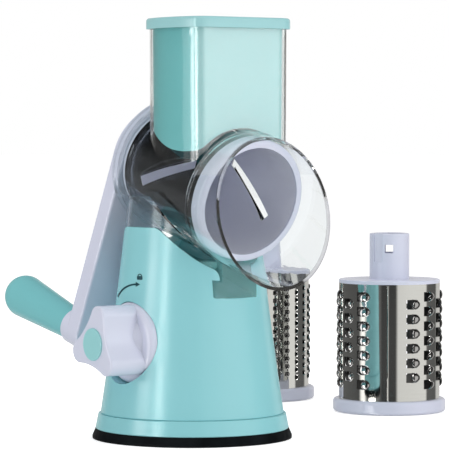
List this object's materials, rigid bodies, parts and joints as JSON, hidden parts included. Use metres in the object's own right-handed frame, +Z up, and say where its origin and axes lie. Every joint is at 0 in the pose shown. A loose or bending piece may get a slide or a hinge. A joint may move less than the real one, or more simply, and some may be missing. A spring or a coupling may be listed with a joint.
{
  "type": "rotary cabbage shredder",
  "caption": "Hand cranked drum shredder on a lockable suction base, with a clear chute and barrel, a pusher, and spare grating drums standing beside it.",
  "frame": {"origin": "centre of the suction foot's underside, on the surface that the shredder stands on", "axes": "+Z up; the outlet faces -Y, the crank is at +Y, the lock knob at -X, and the two spare drums stand at +X"},
  "size_m": [0.3341, 0.3255, 0.2753],
  "materials": {
    "turquoise_plastic": "smooth, softly glossy",
    "pale_plastic": "smooth, softly glossy",
    "clear_plastic": "clear moulded plastic",
    "black_rubber": "matte rubber",
    "steel": "polished thin steel",
    "grey_plastic": "matte"
  },
  "bodies": {
    "stand": {"suction_pad": "black_rubber", "base_collar": "turquoise_plastic", "base_shell": "turquoise_plastic", "locking_frame": "grey_plastic", "frame_screw_1": "steel", "frame_screw_2": "steel", "frame_screw_3": "steel", "frame_screw_4": "steel", "drum_housing": "clear_plastic"},
    "lock_knob": {"knob_dial": "pale_plastic", "knob_cap": "turquoise_plastic", "knob_shaft": "steel"},
    "suction_lift": {"suction_disc": "black_rubber", "suction_stem": "steel"},
    "pusher": {"pusher_body": "turquoise_plastic", "pusher_lid": "turquoise_plastic"},
    "crank": {"crank_arm": "pale_plastic", "crank_post": "pale_plastic", "grip_pin": "steel"},
    "grip": {"handle_grip": "turquoise_plastic"},
    "slicing_drum": {"slicing_drum_shell": "steel", "slicing_drum_flange": "pale_plastic", "slicing_drum_hub": "pale_plastic"},
    "coarse_drum": {"coarse_drum_shell": "steel", "coarse_drum_flange": "pale_plastic", "coarse_drum_hub": "pale_plastic"},
    "fine_drum": {"fine_drum_shell": "steel", "fine_drum_flange": "pale_plastic", "fine_drum_hub": "pale_plastic"}
  },
  "joints": [
    {"name": "knob_turn", "type": "hinge", "parent": "stand", "child": "lock_knob", "pos_m": [-0.0543, 0, 0.06465], "axis": [1, 0, 0], "range_deg": [0, 90]},
    {"name": "suction_pull", "type": "slide", "parent": "stand", "child": "suction_lift", "axis": [0, 0, 1], "range_m": [0, 0.004]},
    {"name": "pusher_lift", "type": "slide", "parent": "stand", "child": "pusher", "axis": [0, 0, 1], "range_m": [0, 0.11]},
    {"name": "crank_turn", "type": "hinge", "parent": "stand", "child": "crank", "pos_m": [0, 0.03481, 0.18357], "axis": [0, -0.967, -0.2546], "continuous": true},
    {"name": "grip_spin", "type": "hinge", "parent": "crank", "child": "grip", "pos_m": [-0.04009, 0.0887, 0.07314], "axis": [0, -0.967, -0.2546], "continuous": true},
    {"name": "drum_slide", "type": "slide", "parent": "crank", "child": "slicing_drum", "axis": [0, -0.967, -0.2546], "range_m": [0, 0.165]},
    {"name": "coarse_drum_lift", "type": "slide", "parent": "stand", "child": "coarse_drum", "axis": [0, 0, 1], "range_m": [0, 0.2]},
    {"name": "fine_drum_lift", "type": "slide", "parent": "stand", "child": "fine_drum", "axis": [0, 0, 1], "range_m": [0, 0.2]}
  ],
  "couplings": [
    {"joint": "knob_turn", "follows": "suction_pull", "rad_per_m": 392.69}
  ]
}
